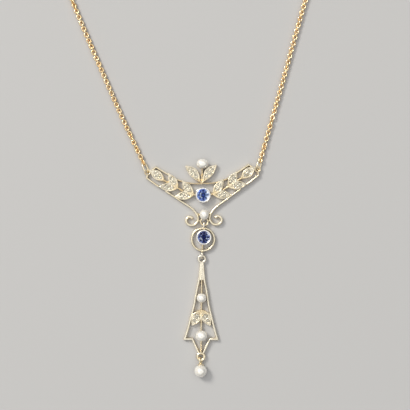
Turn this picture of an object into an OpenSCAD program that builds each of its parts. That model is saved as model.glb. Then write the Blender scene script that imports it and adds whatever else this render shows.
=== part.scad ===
// Pendant necklace lying flat: a pierced panel of two leafy wings with a flower,
// a circle drop and a long kite-shaped drop under it, on a fine chain that closes in a whole loop.
// Millimetres. +Z is up from the surface that it lies on, +Y runs from the drops to the clasp.
// The origin is the middle of the flat back of the panel's sapphire collet.

/* [Metalwork] */
// Height of the pierced rails above the surface
rail_h = 1.1; // [1:0.05:1.2]
// Height of the leaf settings
leaf_h = 1.25; // [1.2:0.05:1.35]
// Width of a leaf's raised rim
leaf_rim = 0.28; // [0.18:0.02:0.3]
// Depth of the sunk field inside a leaf's rim
leaf_sink = 0.1; // [0.08:0.02:0.2]
// Width of the lower rails and the end bars
rail_w = 0.42; // [0.38:0.02:0.46]
// Width of the thin upper rail
thin_rail_w = 0.34; // [0.3:0.02:0.4]
// Width of the scrolls at their widest
scroll_w = 0.56; // [0.5:0.02:0.6]
// Width of the stems between the leaf pairs
stem_w = 0.5; // [0.4:0.05:0.6]

/* [Collets] */
// Outer diameter of a sapphire's collet
collet_d = 3.85; // [3.8:0.05:3.9]
// Height of a collet
collet_h = 1.95; // [1.9:0.05:2]

/* [Stones] */
// Diameter of a sapphire
sapphire_d = 3.15; // [3.05:0.05:3.2]
// Diameter of the larger diamond of a leaf
diamond_d = 1.15; // [1:0.05:1.2]
// Diameter of the smaller diamond of a leaf
small_diamond_d = 0.82; // [0.7:0.02:0.86]
// Clearance between a stone or pearl and its seat
seat_gap = 0.03; // [0.03:0.01:0.04]

/* [Pearls] */
// Width, length and thickness of the pearl over the flower
crown_pearl = [3, 2.5, 2.4]; // [2.3:0.05:3]
// Width, length and thickness of the pearl between the scrolls
panel_pearl = [2.4, 2.7, 2.4]; // [2.3:0.05:2.7]
// Width, length and thickness of the upper pearl of the long drop
upper_drop_pearl = [2.45, 2.45, 2.4]; // [2.3:0.05:2.5]
// Width, length and thickness of the lower pearl of the long drop
lower_drop_pearl = [3, 2.75, 2.5]; // [2.4:0.05:3]
// Diameter of the round pearl at the very end
end_pearl_d = 3.15; // [3:0.05:3.2]

/* [Drops] */
// Outer diameter of the circle drop
circle_d = 6.15; // [6.1:0.05:6.2]
// Width of the circle drop's ring
circle_w = 0.5; // [0.45:0.05:0.55]
// Length of the long drop between the centres of its end rings
long_drop_l = 24.4; // [24.3:0.05:24.5]
// Width of the long drop's outer rails
drop_rail_w = 0.44; // [0.4:0.02:0.46]
// Width of the long drop's middle wire
drop_stem_w = 0.38; // [0.34:0.02:0.42]

/* [Links] */
// Wire of the upright loops at the circle drop's ends
loop_wire = 0.5; // [0.46:0.01:0.51]
// Wire of the small ring under the panel
link_wire = 0.42; // [0.4:0.01:0.43]
// Wire of the long drop's top ring
top_ring_wire = 0.52; // [0.48:0.01:0.53]
// Wire of the long drop's foot ring
foot_ring_wire = 0.6; // [0.54:0.01:0.61]
// Wire of the jump rings at the panel's ends
jump_wire = 0.46; // [0.42:0.01:0.47]
// Wire of the end drop's loop and of the clasp's ring
fine_wire = 0.36; // [0.34:0.01:0.37]
// Thickness of the chain
chain_d = 1.3; // [1.28:0.01:1.32]

/* [Hidden] */
// Height of the middle of all linked rings, so that the upright loops clear the surface
link_z = 0.88;
// Turns of the three parts in the plane, counterclockwise, as they lie
panel_turn = 1.6;
circle_turn = -3.4;
long_turn = -0.6;
// Centres of the circle drop and of the long drop's top ring
circle_at = [-0.05, -11.08];
long_at = [-0.33, -15.98];

// The leaves of the right wing, the flower and the long drop's chevron, each on its own part's axes.
// The bulges are the greatest distances of the left and right edge from the line base to tip,
// and peak is where along the line they are reached.
LEAF = 0; // columns of the leaf tables
BASE = 1;
TIP = 2;
BULGES = 3;
PEAK = 4;
STONES = 5; // which row of stone_rows the leaf takes
wing_leaves = [
    ["inner_upper", [2.35, 0.05], [5.2, 3.85], [0.95, 1.2], 0.48, 0],
    ["inner_lower", [2.35, 0.05], [7.1, -0.15], [1.15, 1.05], 0.5, 0],
    ["middle_upper", [6.2, 1.85], [8.55, 5.75], [0.95, 1.2], 0.48, 0],
    ["middle_lower", [6.2, 1.85], [11.05, 2.4], [1.2, 0.98], 0.5, 0],
    ["outer", [9.5, 3.8], [13.3, 6.7], [1.25, 1.1], 0.5, 1],
];
flower_leaves = [["flower", [0.05, 2.95], [3.96, 7.5], [1.45, 0.8], 0.56, 2]];
flower_x = -0.33; // the flower sits a little left of the panel's middle
chevron_leaves = [["chevron", [0, -12.65], [2.33, -16.75], [1.3, 1.15], 0.47, 3]];
// Where the stones sit along each leaf, and whether each is a large one (1) or a small one (0)
stone_rows = [
    [[0.36, 0], [0.6, 1]],
    [[0.3, 0], [0.55, 1]],
    [[0.36, 0], [0.54, 1], [0.73, 0]],
    [[0.42, 1], [0.68, 0]],
];
// How far the sunk field stays from a leaf's base and tip
field_base_in = 0.9;
field_tip_in = 0.5;

// Panel, right side: rails as their middle lines
wing_root = [[1.6, 0.05], [3.2, 0.35]]; // from the collet into the first pair of leaves
upper_rail = [[-0.2, 2.9], [1.5, 2.9], [3, 3.02], [4.6, 3.4], [6.2, 3.95], [8.2, 5.1]];
upper_end_rail = [[8.3, 5.15], [11.6, 7.28], [12.75, 6.45]];
end_bar = [[13.83, 5.45], [13.95, 4.6], [10.9, 2.3]];
lower_rail = [[9.4, 1.25], [7.1, -0.3], [5.8, -1.2]];
wing_stems = [[[5, 1.15], [6.3, 1.95]], [[8.4, 3.3], [9.9, 4.05]]];
scroll = [[6.3, -0.9], [4.85, -1.88], [3.5, -2.8], [2.5, -3.7], [1.75, -4.75], [1.45, -5.8],
    [1.75, -6.75], [2.45, -7.35], [3.3, -7.45], [4.1, -7.1], [4.45, -6.35], [4.2, -5.65],
    [3.55, -5.35], [3, -5.6]];
scroll_steps = 3; // straight pieces between two points of the scroll
scroll_end_d = 0.72;
flower_stem = [[-0.33, 2.7], [0.02, 7.8]];
crown_at = [0.05, 7.8];
panel_pearl_at = [0.14, -4.85];
lower_ring_at = [0.09, -6.68];
lower_ring_d = 2.24;
solder_bar = [[0.94, -6.42], [1.5, -6.42]]; // from the lower ring to the scroll
solder_bar_w = 0.34;
pearl_bridge = [[-1.75, -4.85], [1.75, -4.85]]; // carries the panel pearl's cup between the scrolls
pearl_bridge_w = 0.6;
pearl_bridge_h = 0.3;
eye_at = [13.8, 6.05];
eye_d = 1.57;
eye_wire = 0.34;

// Long drop, right side: the middle line of the rail, down to its stepped foot
drop_rail = [[0.26, -0.9], [0.42, -3], [0.7, -5.35], [1.12, -7.4], [1.48, -9.4], [1.8, -11.4],
    [2.3, -13.5], [2.9, -15.9], [3.48, -18.1], [4.08, -20.05], [2.2, -20], [0.58, -23.5]];
drop_stem = [[0, -0.9], [0, -23.5]];
web = [[0, -0.9], [0, -5.2]]; // fills the narrow top between the wires
web_w = [0.5, 1.3];
web_h = 1.02;
upper_pearl_at = [0, -9.7];
lower_pearl_at = [0.08, -19.13];
top_ring_d = 2.2;
foot_ring_d = 2.4;

// Circle drop: its collet and the upright loops at its ends
circle_collet_at = [0.18, 0.56];
circle_loops_y = [3.58, -3.95];
loop_l = 1.96;
loop_w = 1.68;
solder_ball_y = -3.35;
solder_ball_d = 0.6;
circle_bridge_w = 0.7; // from the collet up to the ring
circle_peg_w = 0.34; // from the collet down to the ring
circle_bars_h = 1;
joint_in = 0.2; // how far a bar runs into the ring that it is soldered to

// Profile of the sapphires' collets
collet_foot_in = 0.12;
collet_foot_h = 0.3;
collet_floor = 0.14;
rim_round = 0.15;
rim_over = 0.08; // how far the rim reaches over the stone's edge
rim_t = 0.12;
bearing_drop = 0.1; // from the girdle down to the bearing
bearing_w = 0.25;
bearing_slope = 0.28;
seat_wall_h = 0.22;

// Pearl seats
cup_h = 0.35;
cup_d = 1.5;
peg_d = 0.4;
peg_play = 0.04;
peg_short = 0.1; // how far a peg stays below the middle of its pearl

// Leaf and stone shapes
leaf_steps = 9;
cut_h = 8; // height of what cuts right through
seat_depth = 0.62; // of a diamond's seat, as a part of its diameter
table_r = 0.55; // all as parts of the girdle's radius
star_r = 0.76;
crown_h = 0.32;
girdle_t = 0.05;
pavilion_h = 0.86;
lower_r = 0.3;
diamond_girdle_z = 1.13;
sapphire_girdle_z = 1.6;

// The end drop hangs from the long drop's foot ring and leans up to its pearl, which rests on the surface
end_loop_at = [-0.62, -41.28];
end_loop_r = 0.74;
end_lean = 15.4;
end_loop_turn = 65;
end_pearl_along = 2.68; // from the loop's middle to the pearl's middle
end_peg_l = 1;
// Profile of the end pearl's cap: distance from its axis, height over the pearl's top
cap_profile = [[0, 0.05], [0.45, -0.02], [0.8, -0.16], [0.86, -0.06], [0.5, 0.14], [0.25, 0.3], [0, 0.38]];

// Jump rings: middle, direction along the chain, length and width outside, lean about their length
left_jump = [[-14.46, 6.83], 113, 2.9, 1.95];
right_jump = [[13.96, 7.5], 74, 2.62, 2];
jump_lean = 52;

// Clasp at the back: a plain spring-ring shape with an eye, and the ring that it closes on
clasp_at = [-1, 172];
clasp_r = 2.2;
clasp_wire = 0.85;
clasp_z = 0.7;
clasp_lift = 7; // its ring side is propped up by the ring that passes under it
clasp_eye_r = 0.42;
clasp_eye_wire = 0.3;
clasp_eye_up = 0.26; // how far the middle of the upright eye is over the clasp's own plane
clasp_tab_l = 1.1;
clasp_tab_d = 0.6;
clasp_ring_r = 0.95;
clasp_gap = 0.14; // between the clasp's wire and the ring's
clasp_ring_lean = 55;
clasp_ring_z = 0.97;

// Chain routes, chosen by hand, from the panel's jump rings round to the clasp
left_route = [[-15.1, 8.25], [-20.2, 19.2], [-24.4, 28.8], [-28.7, 38.8], [-32.8, 48.7], [-37.5, 61],
    [-43, 77], [-47.5, 94], [-49.5, 112], [-48, 130], [-42, 147], [-32, 160], [-19, 168.8],
    [-4.85, 172]];
right_route = [[14.35, 8.9], [16.8, 17.5], [19.5, 27], [22.4, 37.5], [25.6, 48.8], [29.6, 62],
    [34.6, 78], [39.3, 95], [41.5, 112], [40.5, 130], [35.5, 146.5], [26.5, 160], [15, 168.6],
    [2.8, 172]];
route_steps = 3; // rings of the tube for each point of a route
chain_sides = 8;

// Colours
gold = [0.83, 0.64, 0.33];
white_metal = [0.87, 0.85, 0.79];
light_blue = [0.25, 0.4, 0.82];
dark_blue = [0.13, 0.17, 0.5];
clear_stone = [0.86, 0.9, 0.92];
pearl_white = [0.94, 0.92, 0.88];

SIDES = [["right", 1], ["left", -1]];
all_leaves = concat(wing_leaves, flower_leaves, chevron_leaves);
function stones_of(leaf) = stone_rows[leaf[STONES]];
function diamond_node(side, leaf, k) = str("diamond_", side[0], "_", leaf[LEAF], "_", k + 1);

// Plane geometry
function unit(v) = v / norm(v);
function left_of(v) = [-v[1], v[0]];
function spline_point(a, b, c, d, t) =
    0.5 * (2 * b + (c - a) * t + (2 * a - 5 * b + 4 * c - d) * t * t
        + (3 * b - a - 3 * c + d) * t * t * t);
function spline(p, steps) = [
    for (i = [0:len(p) - 2], k = [0:steps - 1])
        spline_point(p[max(i - 1, 0)], p[i], p[i + 1], p[min(i + 2, len(p) - 1)], k / steps),
    p[len(p) - 1]
];
function heading_in(p, i) = unit(p[max(i, 1)] - p[max(i, 1) - 1]);
function heading_out(p, i) = unit(p[min(i + 1, len(p) - 1)] - p[min(i, len(p) - 2)]);
// The sideways step from point i to the edge of a ribbon of width w, mitred at corners
function edge_step(p, i, w) =
    let (a = left_of(heading_in(p, i)), b = left_of(heading_out(p, i)), m = unit(a + b))
        m * (w / 2) / (m * b);
// Outline of a ribbon along p, whose width goes from w0 to w1
function ribbon(p, w0, w1) = let (n = len(p) - 1) concat(
    [for (i = [0:n]) p[i] + edge_step(p, i, w0 + (w1 - w0) * i / n)],
    [for (i = [n:-1:0]) p[i] - edge_step(p, i, w0 + (w1 - w0) * i / n)]
);
// How far out a leaf's edge is at t, as a part of its bulge
function swell(t, peak) = sin(180 * pow(t, ln(0.5) / ln(peak)));
function leaf_edge(base, tip, bulge, peak, t) =
    base + (tip - base) * t + left_of(unit(tip - base)) * bulge * swell(t, peak);
function leaf_outline(leaf, base_in, tip_in, rim) =
    let (along = unit(leaf[TIP] - leaf[BASE]),
        base = leaf[BASE] + along * base_in,
        tip = leaf[TIP] - along * tip_in)
        concat(
            [for (k = [0:leaf_steps])
                leaf_edge(base, tip, leaf[BULGES][0] - rim, leaf[PEAK], k / leaf_steps)],
            [for (k = [leaf_steps - 1:-1:1])
                leaf_edge(base, tip, rim - leaf[BULGES][1], leaf[PEAK], k / leaf_steps)]
        );
function stone_at(leaf, k) = leaf_edge(leaf[BASE], leaf[TIP],
    (leaf[BULGES][0] - leaf[BULGES][1]) / 2, leaf[PEAK], stones_of(leaf)[k][0]);
function stone_d(leaf, k) = stones_of(leaf)[k][1] == 1 ? diamond_d : small_diamond_d;

module both_sides() {
    children();
    mirror([1, 0, 0]) children();
}

module bar(p, w) polygon(ribbon(p, w, w));

// A flat ring of round wire
module ring(r, wire) rotate_extrude() translate([r, 0]) circle(d = wire);

// A long ring of round wire: two half circles and two straight wires, along X
module long_ring(length, width, wire) {
    r = (width - wire) / 2;
    straight = length - width;
    for (end = [-1, 1])
        translate([end * straight / 2, 0, 0])
            rotate([0, 0, -90 * end])
                rotate_extrude(angle = 180) translate([r, 0]) circle(d = wire);
    for (side = [-1, 1])
        translate([-straight / 2, side * r, 0]) rotate([0, 90, 0]) cylinder(h = straight, d = wire);
}

// A round cut stone with a table, stars, kites and halves above, kites and halves below
module cut_stone(d) {
    r = d / 2;
    half = 22.5;
    function crown(q) = crown_h * (1 - q) / (1 - table_r);
    function under(q) = pavilion_h * (1 - q);
    function at(q, z, a) = [r * q * cos(a), r * q * sin(a), r * z];
    table = [for (k = [0:7]) at(table_r, girdle_t + crown_h, 45 * k)];
    stars = [for (k = [0:7]) at(star_r, girdle_t + crown(star_r * cos(half)), 45 * k + half)];
    girdle_top = [for (k = [0:15]) at(1, girdle_t, half * k)];
    girdle_low = [for (k = [0:15]) at(1, 0, half * k)];
    lower = [for (k = [0:7]) at(lower_r, -under(lower_r * cos(half)), 45 * k + half)];
    T = 0; // where each group of corners starts
    S = 8;
    G = 16;
    L = 32;
    P = 48;
    culet = 56;
    polyhedron(
        concat(table, stars, girdle_top, girdle_low, lower, [[0, 0, -r * pavilion_h]]),
        concat(
            [[for (k = [7:-1:0]) T + k]],
            [for (k = [0:7]) [T + k, T + (k + 1) % 8, S + k]],
            [for (k = [0:7]) [T + k, S + k, G + 2 * k, S + (k + 7) % 8]],
            [for (k = [0:7]) [S + k, G + 2 * k + 1, G + 2 * k]],
            [for (k = [0:7]) [S + k, G + (2 * k + 2) % 16, G + 2 * k + 1]],
            [for (k = [0:15]) [G + k, G + (k + 1) % 16, L + (k + 1) % 16, L + k]],
            [for (k = [0:7]) [P + k, L + 2 * k, L + 2 * k + 1]],
            [for (k = [0:7]) [P + k, L + 2 * k + 1, L + (2 * k + 2) % 16]],
            [for (k = [0:7]) [culet, P + (k + 7) % 8, L + 2 * k, P + k]]
        )
    );
}

// A pearl, drilled from below for its peg
module pearl(size, at) color(pearl_white) translate([at[0], at[1], cup_h + seat_gap])
    difference() {
        translate([0, 0, size[2] / 2]) scale([size[0], size[1], size[2]] / size[2]) sphere(d = size[2]);
        cylinder(h = size[2], d = peg_d + 2 * peg_play, center = true);
    }
module pearl_seat(size, at) translate([at[0], at[1], 0]) {
    cylinder(h = cup_h, d = cup_d);
    cylinder(h = cup_h + size[2] / 2 - peg_short, d = peg_d);
}
// The room that the rails leave for a pearl, above its cup
module pearl_room(d, at) translate([at[0], at[1], cup_h]) cylinder(h = cut_h, d = d + 2 * seat_gap);

// A closed cup with a bearing for the stone and a rim rubbed over its edge
module collet() {
    wall = collet_d / 2;
    stone = sapphire_d / 2;
    seat = stone + seat_gap;
    bearing_z = sapphire_girdle_z - bearing_drop;
    rotate_extrude() polygon([
        [0, 0], [wall - collet_foot_in, 0], [wall, collet_foot_h],
        [wall, collet_h - rim_round], [wall - rim_round, collet_h],
        [stone, collet_h], [stone - rim_over, collet_h - rim_t],
        [seat, bearing_z + seat_wall_h], [seat, bearing_z],
        [stone - bearing_w, bearing_z - bearing_slope], [stone - bearing_w, collet_floor], [0, collet_floor]
    ]);
}
module sapphire(hue) color(hue) translate([0, 0, sapphire_girdle_z]) cut_stone(sapphire_d);

// Leaf settings with their sunk fields and stone seats
module leaf_bodies(leaves) linear_extrude(leaf_h)
    for (leaf = leaves) polygon(leaf_outline(leaf, 0, 0, 0));
module leaf_cuts(leaves) {
    translate([0, 0, leaf_h - leaf_sink]) linear_extrude(cut_h)
        for (leaf = leaves) polygon(leaf_outline(leaf, field_base_in, field_tip_in, leaf_rim));
    for (leaf = leaves, k = [0:len(stones_of(leaf)) - 1]) {
        deep = stone_d(leaf, k) * seat_depth;
        translate([stone_at(leaf, k)[0], stone_at(leaf, k)[1], diamond_girdle_z - deep])
            cylinder(h = cut_h, d = stone_d(leaf, k) + 2 * seat_gap);
    }
}

module on_panel() rotate([0, 0, panel_turn]) children();
module on_flower() translate([flower_x, 0, 0]) children();
module on_circle() translate([circle_at[0], circle_at[1], 0]) rotate([0, 0, circle_turn]) children();
module on_long_drop() translate([long_at[0], long_at[1], 0]) rotate([0, 0, long_turn]) children();

// The panel: rails, stems, scrolls, leaves, collet, pearl cups and rings, soldered as one
module wing_rails() {
    bar(upper_rail, thin_rail_w);
    bar(upper_end_rail, rail_w);
    bar(end_bar, rail_w);
    bar(lower_rail, rail_w);
    bar(wing_root, stem_w);
    for (stem = wing_stems) bar(stem, stem_w);
    line = spline(scroll, scroll_steps);
    polygon(ribbon(line, rail_w, scroll_w));
    translate(line[len(line) - 1]) circle(d = scroll_end_d);
}
module panel_rails() linear_extrude(rail_h) {
    both_sides() wing_rails();
    bar(flower_stem, stem_w);
}
module panel_frame() color(white_metal) on_panel() {
    difference() {
        union() {
            panel_rails();
            both_sides() leaf_bodies(wing_leaves);
            on_flower() both_sides() leaf_bodies(flower_leaves);
        }
        both_sides() leaf_cuts(wing_leaves);
        on_flower() both_sides() leaf_cuts(flower_leaves);
        pearl_room(crown_pearl[1], crown_at);
        cylinder(h = cut_h, d = collet_d - joint_in, center = true);
    }
    collet();
    pearl_seat(crown_pearl, crown_at);
    pearl_seat(panel_pearl, panel_pearl_at);
    linear_extrude(pearl_bridge_h) bar(pearl_bridge, pearl_bridge_w);
    linear_extrude(link_z) both_sides() bar(solder_bar, solder_bar_w);
    difference() {
        translate([lower_ring_at[0], lower_ring_at[1], link_z])
            ring((lower_ring_d - link_wire) / 2, link_wire);
        translate([panel_pearl_at[0], panel_pearl_at[1], cup_h + seat_gap + panel_pearl[2] / 2])
            sphere(d = panel_pearl[1] + 2 * seat_gap);
    }
    both_sides() translate([eye_at[0], eye_at[1], link_z]) ring((eye_d - eye_wire) / 2, eye_wire);
}

// An upright loop, longer than high, whose plane runs along the drop
module upright_loop(y) translate([0, y, link_z]) rotate([90, 0, 90]) long_ring(loop_l, loop_w, loop_wire);

// The circle drop: a ring, a collet in its upper half, a peg below it and an upright loop at each end
module circle_drop() color(white_metal) on_circle() {
    inside = circle_d / 2 - circle_w;
    difference() {
        cylinder(h = rail_h, d = circle_d);
        cylinder(h = cut_h, r = inside, center = true);
    }
    translate([circle_collet_at[0], circle_collet_at[1], 0]) collet();
    difference() {
        linear_extrude(circle_bars_h) {
            bar([[circle_collet_at[0], 0], [circle_collet_at[0] / 2, inside + joint_in]], circle_bridge_w);
            bar([[0, 0], [0, -inside - joint_in]], circle_peg_w);
        }
        translate([circle_collet_at[0], circle_collet_at[1], 0])
            cylinder(h = cut_h, d = collet_d - joint_in, center = true);
    }
    for (y = circle_loops_y) upright_loop(y);
    translate([0, solder_ball_y, link_z]) sphere(d = solder_ball_d);
}

// The long drop: two rails that spread from the top ring to a stepped foot, a middle wire,
// two pearl cups, a chevron of two leaves and a ring at the foot
module long_drop() color(white_metal) on_long_drop() {
    difference() {
        union() {
            linear_extrude(rail_h) {
                both_sides() bar(drop_rail, drop_rail_w);
                bar(drop_stem, drop_stem_w);
            }
            linear_extrude(web_h) polygon(ribbon(web, web_w[0], web_w[1]));
            both_sides() leaf_bodies(chevron_leaves);
        }
        both_sides() leaf_cuts(chevron_leaves);
        pearl_room(upper_drop_pearl[1], upper_pearl_at);
        pearl_room(lower_drop_pearl[1], lower_pearl_at);
    }
    pearl_seat(upper_drop_pearl, upper_pearl_at);
    pearl_seat(lower_drop_pearl, lower_pearl_at);
    translate([0, 0, link_z]) ring((top_ring_d - top_ring_wire) / 2, top_ring_wire);
    translate([0, -long_drop_l, link_z]) ring((foot_ring_d - foot_ring_wire) / 2, foot_ring_wire);
}

// The end drop, along its own axis: its loop, its cap with a peg, and its pearl
module on_end_drop() translate([end_loop_at[0], end_loop_at[1], link_z])
    rotate([0, 0, long_turn]) rotate([-end_lean, 0, 0]) children();
module at_end_pearl() translate([0, -end_pearl_along, 0]) rotate([-90, 0, 0]) children();
module end_cap() color(gold) on_end_drop() {
    rotate([0, end_loop_turn, 0]) ring(end_loop_r, fine_wire);
    at_end_pearl() {
        rotate_extrude() polygon([for (corner = cap_profile) [corner[0], end_pearl_d / 2 + corner[1]]]);
        translate([0, 0, end_pearl_d / 2 - end_peg_l]) cylinder(h = end_peg_l + peg_short, d = peg_d);
    }
}
module end_pearl() color(pearl_white) on_end_drop() at_end_pearl() difference() {
    sphere(d = end_pearl_d);
    translate([0, 0, end_pearl_d / 2 - end_peg_l - peg_play])
        cylinder(h = end_pearl_d, d = peg_d + 2 * peg_play);
}

module jump_ring(at) color(gold) translate([at[0][0], at[0][1], link_z])
    rotate([jump_lean, 0, at[1]]) long_ring(at[2], at[3], jump_wire);

// The finest chain as one plain tube that lies on the surface, the thickness of its links
module chain_tube(route) {
    line = spline(route, route_steps);
    last = len(line) - 1;
    r = chain_d / 2 / cos(180 / chain_sides);
    function side(i) = unit(left_of(heading_in(line, i)) + left_of(heading_out(line, i)));
    function corner(i, a) = concat(line[i] + side(i) * r * cos(a), chain_d / 2 + r * sin(a));
    function next(k) = (k + 1) % chain_sides;
    color(gold) polyhedron(
        [for (i = [0:last], k = [0:chain_sides - 1]) corner(i, 360 * (k + 0.5) / chain_sides)],
        concat(
            [[for (k = [0:chain_sides - 1]) k]],
            [for (i = [0:last - 1], k = [0:chain_sides - 1]) [
                i * chain_sides + k, (i + 1) * chain_sides + k,
                (i + 1) * chain_sides + next(k), i * chain_sides + next(k)
            ]],
            [[for (k = [chain_sides - 1:-1:0]) last * chain_sides + k]]
        )
    );
}

module clasp() color(gold) translate([clasp_at[0], clasp_at[1], clasp_z]) rotate([0, -clasp_lift, 0]) {
    ring(clasp_r, clasp_wire);
    translate([-clasp_r - clasp_wire / 2 - clasp_eye_r, 0, clasp_eye_up])
        rotate([90, 0, 0]) ring(clasp_eye_r, clasp_eye_wire);
    translate([0, clasp_r, 0]) rotate([-90, 0, 0]) cylinder(h = clasp_tab_l, d = clasp_tab_d);
}
module clasp_ring() color(gold) translate([
    clasp_at[0] + clasp_r - clasp_wire / 2 - fine_wire / 2 - clasp_gap + clasp_ring_r,
    clasp_at[1],
    clasp_ring_z
]) rotate([clasp_ring_lean, 0, 0]) ring(clasp_ring_r, fine_wire);

module diamond(side, leaf, k) {
    at = stone_at(leaf, k);
    color(clear_stone) translate([side[1] * at[0], at[1], diamond_girdle_z]) cut_stone(stone_d(leaf, k));
}

panel_frame();
circle_drop();
long_drop();
end_cap();
jump_ring(left_jump);  // left_jump_ring
jump_ring(right_jump);  // right_jump_ring
on_panel() sapphire(light_blue);  // panel_sapphire
on_circle() translate([circle_collet_at[0], circle_collet_at[1], 0]) sapphire(dark_blue);  // drop_sapphire
on_panel() pearl(crown_pearl, crown_at);
on_panel() pearl(panel_pearl, panel_pearl_at);
on_long_drop() pearl(upper_drop_pearl, upper_pearl_at);
on_long_drop() pearl(lower_drop_pearl, lower_pearl_at);
end_pearl();
chain_tube(left_route);  // left_chain
chain_tube(right_route);  // right_chain
clasp();
clasp_ring();
for (side = SIDES, leaf = wing_leaves, k = [0:len(stones_of(leaf)) - 1])
    on_panel() diamond(side, leaf, k);
for (side = SIDES, leaf = flower_leaves, k = [0:len(stones_of(leaf)) - 1])
    on_panel() on_flower() diamond(side, leaf, k);
for (side = SIDES, leaf = chevron_leaves, k = [0:len(stones_of(leaf)) - 1])
    on_long_drop() diamond(side, leaf, k);
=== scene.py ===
"""Looks of the pendant necklace: metalwork, stones, pearls and chain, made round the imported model.

All tables are in millimetres, in the model's own frame. Meshes are made in millimetres and turned into
metres when a piece is finished.
"""

import math

import bpy
import numpy as np
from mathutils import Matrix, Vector
from mathutils.geometry import delaunay_2d_cdt


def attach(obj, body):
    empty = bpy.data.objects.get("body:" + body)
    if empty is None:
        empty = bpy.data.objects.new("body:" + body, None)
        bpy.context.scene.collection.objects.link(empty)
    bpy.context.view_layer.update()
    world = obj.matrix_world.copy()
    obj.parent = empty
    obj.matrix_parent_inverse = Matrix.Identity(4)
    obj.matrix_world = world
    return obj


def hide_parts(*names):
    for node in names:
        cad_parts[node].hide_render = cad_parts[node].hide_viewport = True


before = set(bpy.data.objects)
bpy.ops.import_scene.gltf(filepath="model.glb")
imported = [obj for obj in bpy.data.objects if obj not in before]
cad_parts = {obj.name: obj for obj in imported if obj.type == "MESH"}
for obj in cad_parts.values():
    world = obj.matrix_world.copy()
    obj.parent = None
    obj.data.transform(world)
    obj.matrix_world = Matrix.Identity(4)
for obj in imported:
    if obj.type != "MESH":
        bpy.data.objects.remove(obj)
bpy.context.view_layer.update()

MM = 0.001

# Camera: straight above, the photograph's square frame in millimetres on the necklace
FRAME_SIDE = 102.5
FRAME_CENTRE = (0.45, -2.475)
FRAME_Z = 0.9
LENS = 85.0
SENSOR = 36.0

# Heights and widths of the metalwork; LINK_Z is the middle of the rings and loops that join the parts
RAIL_H = 1.1
LEAF_H = 1.25
LEAF_RIM = 0.3
LEAF_SINK = 0.1
RAIL_W = 0.42
THIN_RAIL_W = 0.34
SCROLL_W = 0.56
STEM_W = 0.5
COLLET_D = 3.85
COLLET_H = 1.95
LINK_Z = 0.88
LINK_WIRE = 0.42
LOOP_WIRE = 0.5
JUMP_WIRE = 0.46
FINE_WIRE = 0.36
CUP_H = 0.35
SEAT_GAP = 0.03

# Stones: diameters, and heights of their girdles
SAPPHIRE_D = 3.15
SAPPHIRE_Z = 1.6
DIAMOND_Z = 1.13
SMALL, LARGE = 0.82, 1.15

# How the three parts lie
PANEL_TURN = 1.6
CIRCLE_TURN = -3.4
LONG_TURN = -0.6
CIRCLE_AT = (-0.05, -11.08)
LONG_AT = (-0.33, -15.98)

# Leaves: base, tip, greatest distance of the left and right edge, where it is reached, row of STONE_ROWS
WING_LEAVES = [
    ((2.35, 0.05), (5.2, 3.85), (0.95, 1.2), 0.48, 0),
    ((2.35, 0.05), (7.1, -0.15), (1.15, 1.05), 0.5, 0),
    ((6.2, 1.85), (8.55, 5.75), (0.95, 1.2), 0.48, 0),
    ((6.2, 1.85), (11.05, 2.4), (1.2, 0.98), 0.5, 0),
    ((9.5, 3.8), (13.3, 6.7), (1.25, 1.1), 0.5, 1),
]
FLOWER_LEAVES = [((0.05, 2.95), (3.96, 7.5), (1.45, 0.8), 0.56, 2)]
FLOWER_X = -0.33
CHEVRON_LEAVES = [((0, -12.65), (2.33, -16.75), (1.3, 1.15), 0.47, 3)]
# Stones of a leaf: share of the way from base to tip, diameter
STONE_ROWS = [
    ((0.36, SMALL), (0.6, LARGE)),
    ((0.3, SMALL), (0.55, LARGE)),
    ((0.36, SMALL), (0.54, LARGE), (0.73, SMALL)),
    ((0.42, LARGE), (0.68, SMALL)),
]
LEAF_STEPS = 20
FIELD_BASE_IN = 0.9
FIELD_TIP_IN = 0.5

# Rails of the panel's right side
UPPER_RAIL = [(-0.2, 2.9), (1.5, 2.9), (3, 3.02), (4.6, 3.4), (6.2, 3.95), (8.2, 5.1)]
UPPER_END_RAIL = [(8.3, 5.15), (11.6, 7.28), (12.75, 6.45)]
END_BAR = [(13.83, 5.45), (13.95, 4.6), (10.9, 2.3)]
LOWER_RAIL = [(9.4, 1.25), (7.1, -0.3), (5.8, -1.2)]
STEMS = [[(1.6, 0.05), (3.2, 0.35)], [(5, 1.15), (6.3, 1.95)], [(8.4, 3.3), (9.9, 4.05)]]
SCROLL = [
    (6.3, -0.9), (4.85, -1.88), (3.5, -2.8), (2.5, -3.7), (1.75, -4.75), (1.45, -5.8), (1.75, -6.75),
    (2.45, -7.35), (3.3, -7.45), (4.1, -7.1), (4.45, -6.35), (4.2, -5.65), (3.55, -5.35), (3, -5.6),
]
SCROLL_END_D = 0.72
# Shares of the scroll's length, and its width there
SCROLL_WIDTHS = ((0, 0.6, 0.88, 1), (RAIL_W, SCROLL_W, SCROLL_W, SCROLL_END_D))
FLOWER_STEM = [(-0.33, 2.7), (0.02, 7.8)]
FLOWER_STEM_W = 0.4
LOWER_RING_AT = (0.09, -6.68)
LOWER_RING_D = 2.24
LOWER_RING_ARC = (140, 400)
SOLDER_BAR = [(0.94, -6.42), (1.5, -6.42)]
SOLDER_BAR_W = 0.34
PEARL_BRIDGE = [(-1.75, -4.85), (1.75, -4.85)]
PEARL_BRIDGE_W = 0.6
PEARL_BRIDGE_H = 0.3
EYE_AT = (13.8, 6.05)
EYE_D = 1.57
EYE_WIRE = 0.34

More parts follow.
